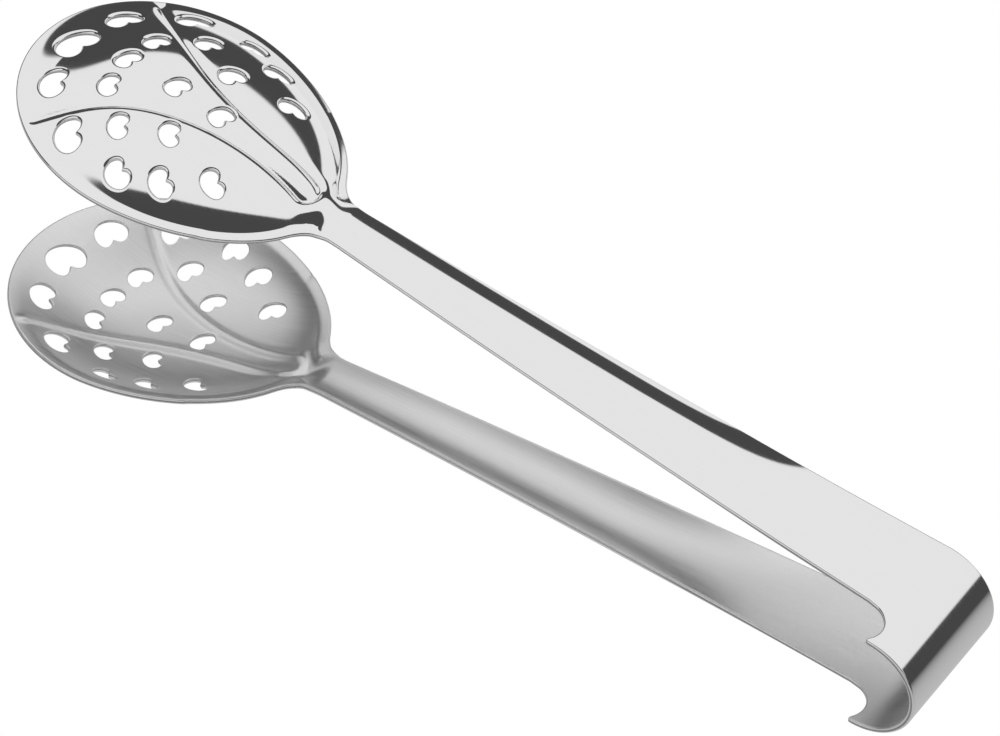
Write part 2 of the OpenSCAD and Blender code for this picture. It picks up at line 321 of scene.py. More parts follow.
    def neck_flange(self, x: Array, y: Array) -> Array:
        """Height of the flange that goes on round the neck, in proportion to the distance from the edge.

        It is as steep as the flange of the rim where the fillet starts, and sinks away under the bowl.

        Args:
            x: Along the strip.
            y: Across it.

        Returns:
            Heights over the edges.
        """
        start = self.rim_end_x - self.fillet_start
        share = 1 - self.fillet_start / self.bowl_neck
        along = self.neck_power * share ** (self.neck_power - 1) / self.bowl_neck
        across = 2 * float(self.rim_half(start)) / self.half_bowl ** 2
        at, d = np.maximum(self.widest_x, x), self.slope_step
        lean = (self.strip_half(at + d) - self.strip_half(at - d)) / (2 * d)
        depth = (self.strip_half(at) - np.abs(y)) / np.hypot(1, lean)
        sunk = 1 - ease((x - start) / (2 * self.fillet_start) + 1)
        steepness = self.rim_rise * math.hypot(along, across)
        return steepness * np.minimum(self.flange, depth) - self.flange_sink * sunk

    def rib(self, x: Array, y: Array) -> Array:
        """Depth of the pressed rib: a bell curve across a hairpin line whose legs spread by a power.

        Args:
            x: Along the strip.
            y: Across it.

        Returns:
            The depths.
        """
        apex = self.rim_end_x - 2 * self.rib_neck
        start = apex - self.neck_length
        share = self.rib_spread / (self.half_bowl - self.flange)
        end = self.widest_x - (self.bowl_tip - self.flange) * math.sqrt(1 - share * share)
        reach = np.maximum(0, (start - x) / (start - end))
        spread = self.rib_spread - self.rib_neck
        leg = self.rib_neck + spread * reach ** self.rib_power
        slope = self.rib_power * spread * reach ** (self.rib_power - 1) / (start - end)
        beside = (np.abs(y) - leg) / np.hypot(1, slope)
        round_end = np.hypot(x - apex, y) - self.rib_neck
        off = np.where(x > apex, round_end, beside) / (self.rib_width / 2)
        fade = 1 - ease((self.egg(x, y, self.flange) - self.rib_fade_start) / self.rib_fade_span)
        depth = self.rib_bend_depth + (self.rib_depth - self.rib_bend_depth) * clamp01(reach)
        return depth * np.exp(-2 * off * off) * fade

    def dome(self, x: Array, y: Array) -> Array:
        """Height of the bowl above its edge: a dome with a soft foot on a flange that rises on under it.

        The dome is its height times one minus a power of the egg measure inside the flange. The flange
        rises in proportion to one minus the egg measure of the rim.

        Args:
            x: Along the strip.
            y: Across it.

        Returns:
            Heights over the edges.
        """
        along = x - self.widest_x
        swell = self.dome_power_swell * np.maximum(along, 0) ** 2
        power = self.dome_power + self.dome_power_growth * along + swell
        power = np.maximum(self.least_dome_power, power)
        wall = self.bowl_depth - self.rim_rise
        rise = wall * (1 - self.egg(x, y, self.flange) ** power)
        dome = soft_max(rise, 0, self.foot) - soft_max(-wall, 0, self.foot)
        return dome + self.rim_rise * (1 - self.egg(x, y, 0.0))

    def height(self, x: Array, y: Array) -> Array:
        """Height of the sheet: arch along the arm, then the largest of dome, arch and flange less the rib.

        Args:
            x: Along the strip.
            y: Across it.

        Returns:
            The heights.
        """
        arch = self.arch(x, y)
        bowl = soft_max(self.dome(x, y), arch, self.valley)
        bowl = soft_max(bowl, self.neck_flange(x, y), self.flange_softness) - self.rib(x, y)
        share = ease((self.neck_x - x) / self.neck_length)
        return self.edge_z(x) + share * bowl + (1 - share) * arch

    def pressed(self, places: Array) -> tuple[Array, Array]:
        """Points and outward normals of the sheet's middle, with slopes by central differences.

        Args:
            places: Places along and across the strip, one row each.

        Returns:
            The points and the unit normals.
        """
        x, y = places[..., 0], places[..., 1]
        d = self.slope_step
        along = (self.height(x + d, y) - self.height(x - d, y)) / (2 * d)
        across = (self.height(x, y + d) - self.height(x, y - d)) / (2 * d)
        points = rows(x, y, self.height(x, y))
        return points, unit(rows(-along, -across, np.ones_like(x)))

    def rolled(self, places: Array) -> tuple[Array, Array]:
        """Points and outward normals of the bow: an arc of the sheet, and past it the arm's own line.

        Args:
            places: Places along the unrolled strip, from 0 at the back of the bow down, and across it.

        Returns:
            The points and the unit normals.
        """
        run, y = -places[..., 0], places[..., 1]
        turn = np.minimum(run, self.bow_run) / self.bow_middle
        arc_normal = rows(np.cos(turn), np.zeros_like(y), np.sin(turn))
        arc = arc_normal * self.bow_middle
        arc[..., 1] = y
        x = self.join_x - (run - self.bow_run) * math.cos(math.radians(self.arm_angle))
        flat, flat_normal = self.pressed(rows(x, y))
        past = (run > self.bow_run)[..., None]
        return np.where(past, flat, arc), np.where(past, flat_normal, arc_normal)

    def unrolled(self, x: float) -> float:
        """Place along the unrolled strip of a place along X on an arm."""
        return -self.bow_run - (self.join_x - x) / math.cos(math.radians(self.arm_angle))

    def stand(self, vectors: Array, half: Half, move: bool) -> Array:
        """Bring points or directions of the strip to the pose in which the tongs stand on a table.

        Args:
            vectors: Points in millimetres, or directions.
            half: The lower half is mirrored first.
            move: Whether the vectors are points, which are also shifted and turned to metres.

        Returns:
            The points or directions in the row frame.
        """
        tilt = math.radians(self.rest_tilt)
        z = vectors[..., 2] * half.value
        x = vectors[..., 0] * math.cos(tilt) + z * math.sin(tilt)
        z = z * math.cos(tilt) - vectors[..., 0] * math.sin(tilt)
        if not move:
            return rows(x, vectors[..., 1], z)
        return rows(x + self.rest_shift, vectors[..., 1], z + self.bow_radius) * MM


@dataclass(frozen=True)
class EdgeRound:
    """Rounded cut edge of the sheet: two quarter circles with a straight wall between them.

    A punched edge is rounder on the outer face, where the punch drew the sheet in.
    """

    sheet: float
    radius: float = 0.4
    inner_radius: float = 0.4
    steps: int = 4

    def profile(self) -> tuple[Array, Array, Array]:
        """Section of the edge from the outer face to the inner face.

        Returns:
            Insets from the outline, heights over the sheet's middle and turns of the normal from level.
        """
        quarter = np.linspace(math.pi / 2, 0, self.steps + 1)
        turn = np.concatenate([quarter, -quarter[::-1]])
        radius = np.repeat([self.radius, self.inner_radius], self.steps + 1)
        inset = radius * (1 - np.cos(turn))
        side = np.repeat([-1.0, 1.0], self.steps + 1)
        height = side * (radius * (1 - np.abs(np.sin(turn))) - self.sheet / 2)
        return inset, height, turn


@dataclass
class Outline:
    """A free edge of a piece of sheet in plan, with the sheet on its left.

    A loop closes on itself, as round a hole. An open outline ends at two seams.
    """

    places: Array
    edge: EdgeRound
    loop: bool = False
    even: int = 3

    def border(self) -> Array:
        """Line at which the rounding of the edge starts on the outer face."""
        return self.places - self.edge.radius * self.outward()

    def outward(self) -> Array:
        """Unit normals to the right of the outline.

        At a seam they lie along the seam, which runs across the strip. Round a loop they are evened out
        over a few neighbours, so that the rounding of a sharp notch doesn't cross itself.

        Returns:
            One normal per place.
        """
        if self.loop:
            tangent = np.roll(self.places, -1, axis=0) - np.roll(self.places, 1, axis=0)
        else:
            tangent = np.gradient(self.places, axis=0)
        normal = unit(rows(tangent[:, 1], -tangent[:, 0]))
        if self.loop:
            return unit(sum(np.roll(normal, shift, axis=0) for shift in range(-self.even, self.even + 1)))
        for end in (0, -1):
            normal[end] = (0.0, math.copysign(1.0, normal[end, 1]))
        return normal


def resampled(path: Array, spacing: float, loop: bool = False) -> Array:
    """Spread points evenly along a path.

    Args:
        path: Corner points of the path.
        spacing: Wanted distance between points.
        loop: Whether the path closes on itself, so that its first point isn't repeated.

    Returns:
        The even points, the ends of an open path among them.
    """
    if loop:
        path = np.vstack([path, path[:1]])
    run = np.concatenate([[0], np.cumsum(np.linalg.norm(np.diff(path, axis=0), axis=1))])
    count = max(LEAST_STEPS, round(run[-1] / spacing)) + 1
    even = np.linspace(0, run[-1], count)
    out = rows(*(np.interp(even, run, path[:, k]) for k in (0, 1)))
    return out[:-1] if loop else out


def inside(places: Array, polygon: Array) -> Array:
    """Which places lie inside a polygon, by counting the edges that a ray towards +X crosses.

    Args:
        places: Places in plan.
        polygon: Corners of the polygon.

    Returns:
        True for each place inside.
    """
    a, b = polygon, np.roll(polygon, -1, axis=0)
    x, y = places[:, None, 0], places[:, None, 1]
    spans = (a[None, :, 1] > y) != (b[None, :, 1] > y)
    rise = np.where(a[:, 1] == b[:, 1], 1.0, b[:, 1] - a[:, 1])
    cross = a[None, :, 0] + (y - a[None, :, 1]) / rise * (b[:, 0] - a[:, 0])
    return (np.sum(spans & (x < cross), axis=1) % 2).astype(bool)


def clear_of(places: Array, borders: Array, gap: float, at_once: int = 1000) -> Array:
    """Sift out places that are too close to a border, some at once to save memory.

    Args:
        places: Places in plan.
        borders: Points of the borders.
        gap: Least distance.
        at_once: Number of places in a block.

    Returns:
        The places that are clear of all border points.
    """
    near = np.zeros(len(places), bool)
    for block in np.array_split(np.arange(len(places)), max(1, len(places) // at_once)):
        off = places[block, None, :] - borders[None, :, :]
        near[block] = np.min(np.sum(off * off, axis=-1), axis=1) < gap * gap
    return places[~near]


class SheetPiece:
    """Closed mesh of a piece of sheet: two skins over one plan of triangles, round edges and flat seams."""

    GAP = 0.3
    OUT_STEP = 0.01
    TRIANGLES_INSIDE = 1
    MERGE_DISTANCE = 1e-7

    def __init__(self, surface: Surface, sheet: float) -> None:
        """Start an empty piece.

        Args:
            surface: Gives points and normals of the sheet's middle over places in plan.
            sheet: Thickness of the sheet.
        """
        self.surface = surface
        self.sheet = sheet
        self.points: list[Array] = []
        self.normals: list[Array] = []
        self.plans: list[Array] = []
        self.faces: list[tuple[Array, Face]] = []
        self.caps: list[Array] = []

    def add(self, points: Array, normals: Array, plan: Array) -> Array:
        """Add points.

        Args:
            points: The points.
            normals: Their normals.
            plan: Their places in plan.

        Returns:
            Their numbers, in the shape that the points have.
        """
        shape, first = points.shape[:-1], sum(map(len, self.points))
        self.points.append(points.reshape(-1, 3))
        self.normals.append(normals.reshape(-1, 3))
        self.plans.append(plan.reshape(-1, 2))
        return np.arange(first, first + math.prod(shape)).reshape(shape)

    def add_skin(self, places: Array, side: int) -> Array:
        """Add points of one face of the sheet, half its thickness to a side of its middle."""
        middle, normal = self.surface(places)
        return self.add(middle + side * self.sheet / 2 * normal, side * normal, places)

    def add_edge(self, outline: Outline) -> Array:
        """Carry the edge's section along an outline.

        Each section point stands in from the outline and up from the middle of the sheet. Its normal turns
        from the face's normal to the outward direction and on to the inner face.

        Args:
            outline: The free edge.

        Returns:
            Numbers of the points, one row per section point from the outer to the inner face.
        """
        inset, height, turn = (a[:, None, None] for a in outline.edge.profile())
        outward = outline.outward()
        places = outline.places[None] - inset * outward[None]
        middle, normal = self.surface(places)
        ahead, _ = self.surface(places + self.OUT_STEP * outward[None])
        out = ahead - middle
        out = unit(out - np.sum(out * normal, axis=-1, keepdims=True) * normal)
        numbers = self.add(middle + height * normal, np.cos(turn) * out + np.sin(turn) * normal, places)
        follow = np.roll(numbers, -1, axis=1) if outline.loop else numbers[:, 1:]
        here = numbers if outline.loop else numbers[:, :-1]
        quads = rows(here[:-1], here[1:], follow[1:], follow[:-1])
        steps = outline.edge.steps
        parts = (quads[:steps], quads[steps], quads[steps + 1:])
        for part, face in zip(parts, (Face.OUTER, Face.EDGE, Face.INNER)):
            self.faces.append((part.reshape(-1, 4), face))
        return numbers

    def build(self, edges: list[Outline], seams: list[Array], holes: list[Outline], inner: Array) -> None:
        """Put the piece together.

        Args:
            edges: Free edges in order round the piece, counter-clockwise.
            seams: After each free edge, the inner places of the seam that follows it.
            holes: Loops round holes, clockwise.
            inner: Places of which those inside the piece and clear of its borders are filled in.
        """
        rings = [self.add_edge(e) for e in edges]
        seam_numbers = [(self.add_skin(s, 1), self.add_skin(s, -1)) for s in seams]
        hole_rings = [self.add_edge(h) for h in holes]
        hole_borders = [h.border() for h in holes]
        rim = np.vstack([part for e, seam in zip(edges, seams) for part in (e.border(), seam)])
        inner = inner[inside(inner, rim)]
        for hole in hole_borders:
            inner = inner[~inside(inner, hole)]
        inner = clear_of(inner, np.vstack([rim, *hole_borders]), self.GAP)
        fills = (self.add_skin(inner, 1), self.add_skin(inner, -1))
        places = np.vstack([rim, *hole_borders, inner])
        triangles = self.triangulate(places, rim, hole_borders)
        for side, face in ((0, Face.OUTER), (1, Face.INNER)):
            row = -side
            numbers = np.concatenate(
                [n for ring, seam in zip(rings, seam_numbers) for n in (ring[row], seam[side])]
                + [ring[row] for ring in hole_rings] + [fills[side]])
            skin = numbers[triangles]
            self.faces.append((skin if side == 0 else skin[:, ::-1], face))
        for i, (outer, hidden) in enumerate(seam_numbers):
            before, after = rings[i], rings[(i + 1) % len(rings)]
            self.caps.append(np.concatenate([before[:, -1], hidden, after[::-1, 0], outer[::-1]]))

    def triangulate(self, places: Array, rim: Array, holes: list[Array]) -> Array:
        """Fill the plan between its rim and its holes with triangles.

        Args:
            places: All places: the rim's first, then each hole's, then the inner ones.
            rim: Closed outline.
            holes: Closed outlines of the holes.

        Returns:
            Numbers of the corners, counter-clockwise.
        """
        links, first = [], 0
        for loop in (rim, *holes):
            n = np.arange(len(loop))
            links.append(rows(n, np.roll(n, -1)) + first)
            first += len(loop)
        made = delaunay_2d_cdt([Vector(p) for p in places.tolist()], np.vstack(links).tolist(), [],
                               self.TRIANGLES_INSIDE, self.MERGE_DISTANCE)
        origin = np.array([numbers[0] for numbers in made[3]])
        triangles = origin[np.array(made[2])]
        corners = places[triangles]
        first, second = corners[:, 1] - corners[:, 0], corners[:, 2] - corners[:, 0]
        turned = first[:, 0] * second[:, 1] - first[:, 1] * second[:, 0] < 0
        triangles[turned] = triangles[turned][:, ::-1]
        centres = corners.mean(axis=1)
        keep = inside(centres, rim)
        for hole in holes:
            near = np.linalg.norm(centres - hole.mean(axis=0), axis=1) < np.ptp(hole, axis=0).max()
            keep[near] &= ~inside(centres[near], hole)
        return triangles[keep]

    def to_object(self, name: str, strip: Strip, half: Half, materials: Materials) -> Object:
        """Make the Blender object, with a UV map of the plan in metres.

        Args:
            name: Name of the piece.
            strip: Gives the standing pose.
            half: The lower half is mirrored, so its faces turn round.
            materials: One per kind of face.

        Returns:
            The object, at the origin.
        """
        points = strip.stand(np.vstack(self.points), half, True)
        normals = strip.stand(np.vstack(self.normals), half, False)
        plan = np.vstack(self.plans) * MM
        flip = half is Half.LOWER
        polygons = [(f, kind.value) for block, kind in self.faces for f in block.tolist()]
        polygons += [(f.tolist(), Face.EDGE.value) for f in self.caps]
        mesh = bpy.data.meshes.new(name)
        mesh.from_pydata(points.tolist(), [], [f[::-1] if flip else f for f, _ in polygons])
        for face in Face:
            mesh.materials.append(materials[face])
        mesh.polygons.foreach_set("material_index", [kind for _, kind in polygons])
        mesh.polygons.foreach_set("use_smooth", np.ones(len(polygons), bool))
        corner = np.empty(len(mesh.loops), np.int32)
        mesh.loops.foreach_get("vertex_index", corner)
        mesh.uv_layers.new(name="strip").data.foreach_set("uv", plan[corner].astype(np.float32).ravel())
        mesh.normals_split_custom_set_from_vertices(normals.tolist())
        mesh.update()
        piece = bpy.data.objects.new(name, mesh)
        bpy.context.scene.collection.objects.link(piece)
        return piece


def add_node(tree: Tree, kind: str, inputs: dict | None = None, **settings: object) -> Node:
    """Add a node with its settings, input values and links.

    Args:
        tree: Node tree of a material or of the world.
        kind: Blender's name for the node.
        inputs: Per input name or number, a value or an output socket to link.
        **settings: Properties of the node.

    Returns:
        The node.
    """
    made = tree.nodes.new(kind)
    for key, value in settings.items():
        setattr(made, key, value)
    for key, value in (inputs or {}).items():
        if isinstance(value, Socket):
            tree.links.new(value, made.inputs[key])
        else:
            made.inputs[key].default_value = value
    return made


def empty_material(name: str) -> tuple[Material, Tree]:
    """Make a material without nodes.

    Args:
        name: Name of the material.

    Returns:
        The material and its node tree.
    """
    material = bpy.data.materials.new(name)
    material.use_nodes = True
    material.node_tree.nodes.clear()
    return material, material.node_tree


@dataclass(frozen=True)
class GrainedSteel:
    """Stainless steel whose surface has a grain along the strip.

    Mirror polish leaves faint buffing lines that show only in dark reflections. Satin brushing leaves fine
    parallel scratches that spread highlights into soft gradients. Sizes of lines are in millimetres.
    """

    name: str
    colour: str
    shade: str
    roughness: tuple[float, float]
    line_width: float
    line_length: float
    bump: float
    bump_depth: float
    detail: float = 3.0
    fineness: float = 0.6
    spread: tuple[float, float] = (0.3, 0.7)

    def material(self) -> Material:
        """Build the material: noise stretched along the strip sets tint, roughness and bump.

        Returns:
            The material.
        """
        material, tree = empty_material(self.name)
        where = add_node(tree, "ShaderNodeTexCoord").outputs["UV"]
        scale = (1 / (self.line_length * MM), 1 / (self.line_width * MM), 1.0)
        stretched = add_node(tree, "ShaderNodeMapping", {"Vector": where, "Scale": scale}).outputs["Vector"]
        noise = {"Vector": stretched, "Scale": 1.0, "Detail": self.detail, "Roughness": self.fineness}
        lines = add_node(tree, "ShaderNodeTexNoise", noise).outputs["Fac"]
        rough = add_node(tree, "ShaderNodeMapRange", {
            "Value": lines, "From Min": self.spread[0], "From Max": self.spread[1],
            "To Min": self.roughness[0], "To Max": self.roughness[1]})
        shades = {"Factor": lines, "A": linear(self.shade), "B": linear(self.colour)}
        tint = add_node(tree, "ShaderNodeMix", shades, data_type="RGBA")
        bump = add_node(tree, "ShaderNodeBump", {"Height": lines, "Strength": self.bump,
                                                 "Distance": self.bump_depth * MM})
        shader = add_node(tree, "ShaderNodeBsdfPrincipled",
                          {"Base Color": tint.outputs["Result"], "Metallic": 1.0,
                           "Roughness": rough.outputs["Result"], "Normal": bump.outputs["Normal"]})
        add_node(tree, "ShaderNodeOutputMaterial", {"Surface": shader.outputs["BSDF"]})
        return material


POLISHED = GrainedSteel("polished_stainless", colour="#efefef", shade="#ebebeb", roughness=(0.05, 0.09),
                        line_width=0.35, line_length=14.0, bump=0.05, bump_depth=0.01)
SATIN = GrainedSteel("satin_stainless", colour="#fafafa", shade="#dcdcdc", roughness=(0.33, 0.48),
                     line_width=0.26, line_length=18.0, bump=0.45, bump_depth=0.02)
# Edge walls: a duller grey, partly for their rough cut and partly as painted shade that stands in for the
# dark reflections along the edges.
SHEARED_AND_SHADED = GrainedSteel("sheared_edge_painted_shade", colour="#a8a8a8", shade="#949494", roughness=(0.18, 0.30),
                       line_width=0.30, line_length=1.0, bump=0.15, bump_depth=0.02)


@dataclass(frozen=True)
class Seam:
    """Places of a seam across the strip, shared by the two pieces that meet there."""

    x: float
    low: float
    high: float
    columns: int = 32

    def inner(self, edge: EdgeRound, upward: bool) -> Array:
        """Even places between the insets of the two free edges, towards +Y if upward, else towards -Y."""
        y = np.linspace(self.low + edge.radius, self.high - edge.radius, self.columns + 1)[1:-1]
        return rows(np.full_like(y, self.x), y if upward else y[::-1])


@dataclass(frozen=True)
class Hole:
    """A bean-shaped drain hole: its place as shares of the bowl, the turn of its notch, and its length."""

    along: float
    across: float
    turn: float
    length: float


@dataclass(frozen=True)
class DrainHoles:
    """Pattern of the drain holes of a bowl."""

    small: float = 5.6
    rim: float = 5.7
    side: float = 7.3
    tip: float = 9.2
    shape: float = 0.8
    notch: float = 0.6
    notch_spread: float = 25.0
    lobe_difference: float = 0.12
    axis_turn: float = -18.0
    spacing: float = 0.35
    turn_step: float = 3.0
    roll_in: float = 0.7
    burr: float = 0.3

    def pattern(self) -> list[Hole]:
        """List the holes: those on the axis, and pairs beside it as along, across, turn and length.

        Returns:
            All holes of a bowl.
        """
        pairs = [(-0.650, 0.399, 30, self.side), (-0.316, 0.269, 28, self.small),
                 (-0.312, 0.711, 42, self.side), (-0.075, 0.509, 34, self.small),
                 (0.177, 0.356, 34, self.small), (0.087, 0.775, 72, self.rim),
                 (0.301, 0.666, 64, self.rim), (0.510, 0.457, 64, self.rim)]
        axis = [(-0.741, self.tip), (-0.354, self.small), (0.023, self.small), (0.305, self.small)]
        holes = [Hole(along, 0.0, self.axis_turn, length) for along, length in axis]
        for along, across, turn, length in pairs:
            holes += [Hole(along, across, -turn, length), Hole(along, -across, turn, length)]
        return holes

    def outline(self, hole: Hole, strip: Strip) -> Outline:
        """Edge of a hole: a flattened circle with a bell-shaped notch on one side and one lobe fuller.

        Args:
            hole: Place, turn and length.
            strip: Gives the bowl's sizes.

        Returns:
            The loop, clockwise.
        """
        t = np.radians(np.arange(0, 360, self.turn_step))
        turn = np.degrees((t + math.pi) % (2 * math.pi) - math.pi)
        r = hole.length / 2 * (1 - self.notch * np.exp(-(turn / self.notch_spread) ** 2))
        width = self.shape * r * (1 - self.lobe_difference * np.sin(t))
        bean = rows(width * np.cos(t), r * np.sin(t))
        if hole.across < 0:
            bean[:, 1] *= -1
            bean = bean[::-1]
        c, s = math.cos(math.radians(hole.turn)), math.sin(math.radians(hole.turn))
        turned = bean @ np.array([[c, s], [-s, c]])
        reach = strip.bowl_tip if hole.along < 0 else strip.bowl_neck
        centre = np.array([strip.widest_x + hole.along * reach, hole.across * strip.half_bowl])
        edge = EdgeRound(strip.sheet, self.roll_in, self.burr)
        return Outline(resampled(turned[::-1] + centre, self.spacing, loop=True), edge, loop=True)


@dataclass
class Bowl:
    """An egg-shaped bowl with its flange, drain holes, hairpin rib and neck."""

    strip: Strip
    half: Half
    edge: EdgeRound
    holes: DrainHoles
    grid: float = 0.38
    rim_spacing: float = 0.5
    foot_span: tuple[float, float] = (-0.9, 1.2)
    foot_spacing: float = 0.25
    rays: int = 4000
    halvings: int = 40

    def rim(self) -> Outline:
        """Free edge of the bowl: the ends of rays from the widest place, with lengths found by halving.

        At the tip they end on the egg outline, towards the neck on the strip's edge.

        Returns:
            The outline, from the seam round the tip and back to the seam.
        """
        s = self.strip
        neck_turn = math.atan(s.half_neck / (s.neck_x - s.widest_x))
        turn = np.linspace(neck_turn, 2 * math.pi - neck_turn, self.rays)
        low, high = np.zeros_like(turn), np.full_like(turn, 2 * s.bowl_width)
        for _ in range(self.halvings):
            r = (low + high) / 2
            x, y = s.widest_x + r * np.cos(turn), r * np.sin(turn)
            within = np.where(np.cos(turn) > 0, np.abs(y) < s.strip_half(x), s.egg(x, y, 0.0) < 1)
            low, high = np.where(within, r, low), np.where(within, high, r)
        path = rows(s.widest_x + low * np.cos(turn), low * np.sin(turn))
        path[[0, -1]] = ((s.neck_x, s.half_neck), (s.neck_x, -s.half_neck))
        return Outline(resampled(path, self.rim_spacing), self.edge)

    def foot_rows(self, rim: Outline) -> Array:
        """Rows of places along the tight curve at the bowl's foot, each at one distance from the rim."""
        depths = self.strip.flange + np.arange(*self.foot_span, self.foot_spacing)
        return np.vstack([rim.places - depth * rim.outward() for depth in depths])

    def build(self, materials: Materials) -> Object:
        """Build the bowl over rows along its foot and a staggered grid of plan places.

        Args:
            materials: One per kind of face.

        Returns:
            The piece.
        """
        s = self.strip
        rim = self.rim()
        holes = [self.holes.outline(h, s) for h in self.holes.pattern()]
        seam = Seam(s.neck_x, -s.half_neck, s.half_neck).inner(self.edge, True)
        x = np.arange(s.widest_x - s.bowl_tip, s.neck_x, self.grid)
        y = np.arange(-s.half_bowl, s.half_bowl, self.grid)
        inner = rows(*np.meshgrid(x, y, indexing="ij"))
        inner[::2, :, 1] += self.grid / 2
        foot = self.foot_rows(rim)
        inner = np.vstack([foot, clear_of(inner.reshape(-1, 2), foot, SheetPiece.GAP)])
        piece = SheetPiece(s.pressed, s.sheet)
        piece.build([rim], [seam], holes, inner)
        return piece.to_object(f"{self.half.label}_bowl_sheet", s, self.half, materials)


@dataclass
class Arm:
    """A springy arm, arched across over most of its length and flat beside the bow."""

    strip: Strip
    half: Half
    edge: EdgeRound
    spacing: float = 1.0

    def build(self, materials: Materials) -> Object:
        """Build the arm over rows of plan places across it, between its two straight edges.

        Args:
            materials: One per kind of face.

        Returns:
            The piece.
        """
        s = self.strip
        x = np.linspace(s.neck_x, s.seam_x, round((s.seam_x - s.neck_x) / self.spacing) + 1)
        half = s.arm_half(x)
        near = Outline(rows(x, -half), self.edge)
        far = Outline(rows(x, half)[::-1], self.edge)
        ends = [Seam(at, -width, width) for at, width in ((s.seam_x, half[-1]), (s.neck_x, half[0]))]
        share = np.linspace(-1, 1, ends[0].columns + 1)[1:-1]
        y = np.outer(half[1:-1] - self.edge.radius, share)
        inner = rows(np.repeat(x[1:-1], len(share)), y.ravel())
        seams = [ends[0].inner(self.edge, True), ends[1].inner(self.edge, False)]
        piece = SheetPiece(s.pressed, s.sheet)
        piece.build([near, far], seams, [], inner)
        return piece.to_object(f"{self.half.label}_arm_sheet", s, self.half, materials)


@dataclass
class BowHalf:
    """Half of the bow, from its back to just past the notch, with the hook on the near side."""

    strip: Strip
    half: Half
    edge: EdgeRound
    spacing: float = 0.45
    corner: float = 2.0
    fine: float = 0.1
    notch_points: int = 60

    def near_edge(self) -> Array:
        """Near edge from the arm's seam: straight, round the notch to the hook's tip, and along the bow.

        Its corners are rounded by averaging fine points along it over a run of the corner size.

        Returns:
            The fine points.
        """
        s = self.strip
        centre = np.array([-s.bow_run - s.notch_radius, -s.half_bow - s.notch_radius])
        last = -math.acos((s.notch_radius - s.hook_lean) / s.notch_radius)
        turn = np.linspace(math.pi / 2, last, self.notch_points)
        notch = centre + s.notch_radius * rows(np.cos(turn), np.sin(turn))
        hook_y = -s.half_bow - s.hook_reach
        start = np.array([[s.unrolled(s.seam_x), -float(s.arm_half(s.seam_x))]])
        tip = np.array([[notch[-1, 0], hook_y]])
        path = resampled(np.vstack([start, notch, tip, [[0.0, hook_y]]]), self.fine)
        reach = round(self.corner / self.fine / 2)
        padded = np.pad(path, ((reach, reach), (0, 0)), mode="reflect", reflect_type="odd")
        total = np.cumsum(np.vstack([np.zeros((1, 2)), padded]), axis=0)
        run = 2 * reach + 1
        return (total[run:] - total[:-run]) / run

    def build(self, materials: Materials) -> Object:
        """Build the half bow over a grid of places on the unrolled strip.

        Args:
            materials: One per kind of face.

        Returns:
            The piece.
        """
        s = self.strip
        u = s.unrolled(s.seam_x)
        width = float(s.arm_half(s.seam_x))
        hook_y = -s.half_bow - s.hook_reach
        near = Outline(resampled(self.near_edge(), self.spacing), self.edge)
        corners = np.array([[0.0, s.half_bow], [-s.bow_run, s.half_bow], [u, width]])
        far = Outline(resampled(corners, self.spacing), self.edge)
        back = Seam(0.0, hook_y, s.half_bow).inner(self.edge, True)
        front = Seam(u, -width, width).inner(self.edge, False)
        x = np.arange(u, 0, self.spacing)
        y = np.arange(hook_y, s.half_bow, 2 * self.spacing)
        inner = rows(*np.meshgrid(x, y, indexing="ij")).reshape(-1, 2)
        piece = SheetPiece(s.rolled, s.sheet)
        piece.build([near, far], [back, front], [], inner)
        return piece.to_object(f"{self.half.label}_bow_sheet", s, self.half, materials)

    def bend(self, piece: Object) -> None:
        """Bake the half bow's placement into its mesh; the ends of its bend, from its back to the line
        where the arm starts, are worked out but not used.

        Args:
            piece: The half bow.
        """
        s = self.strip
        ends = np.array([[s.bow_middle, 0.0, 0.0], [s.join_x, 0.0, s.join_z]])
        start, end = s.stand(ends, self.half, True).tolist()
        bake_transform(piece)


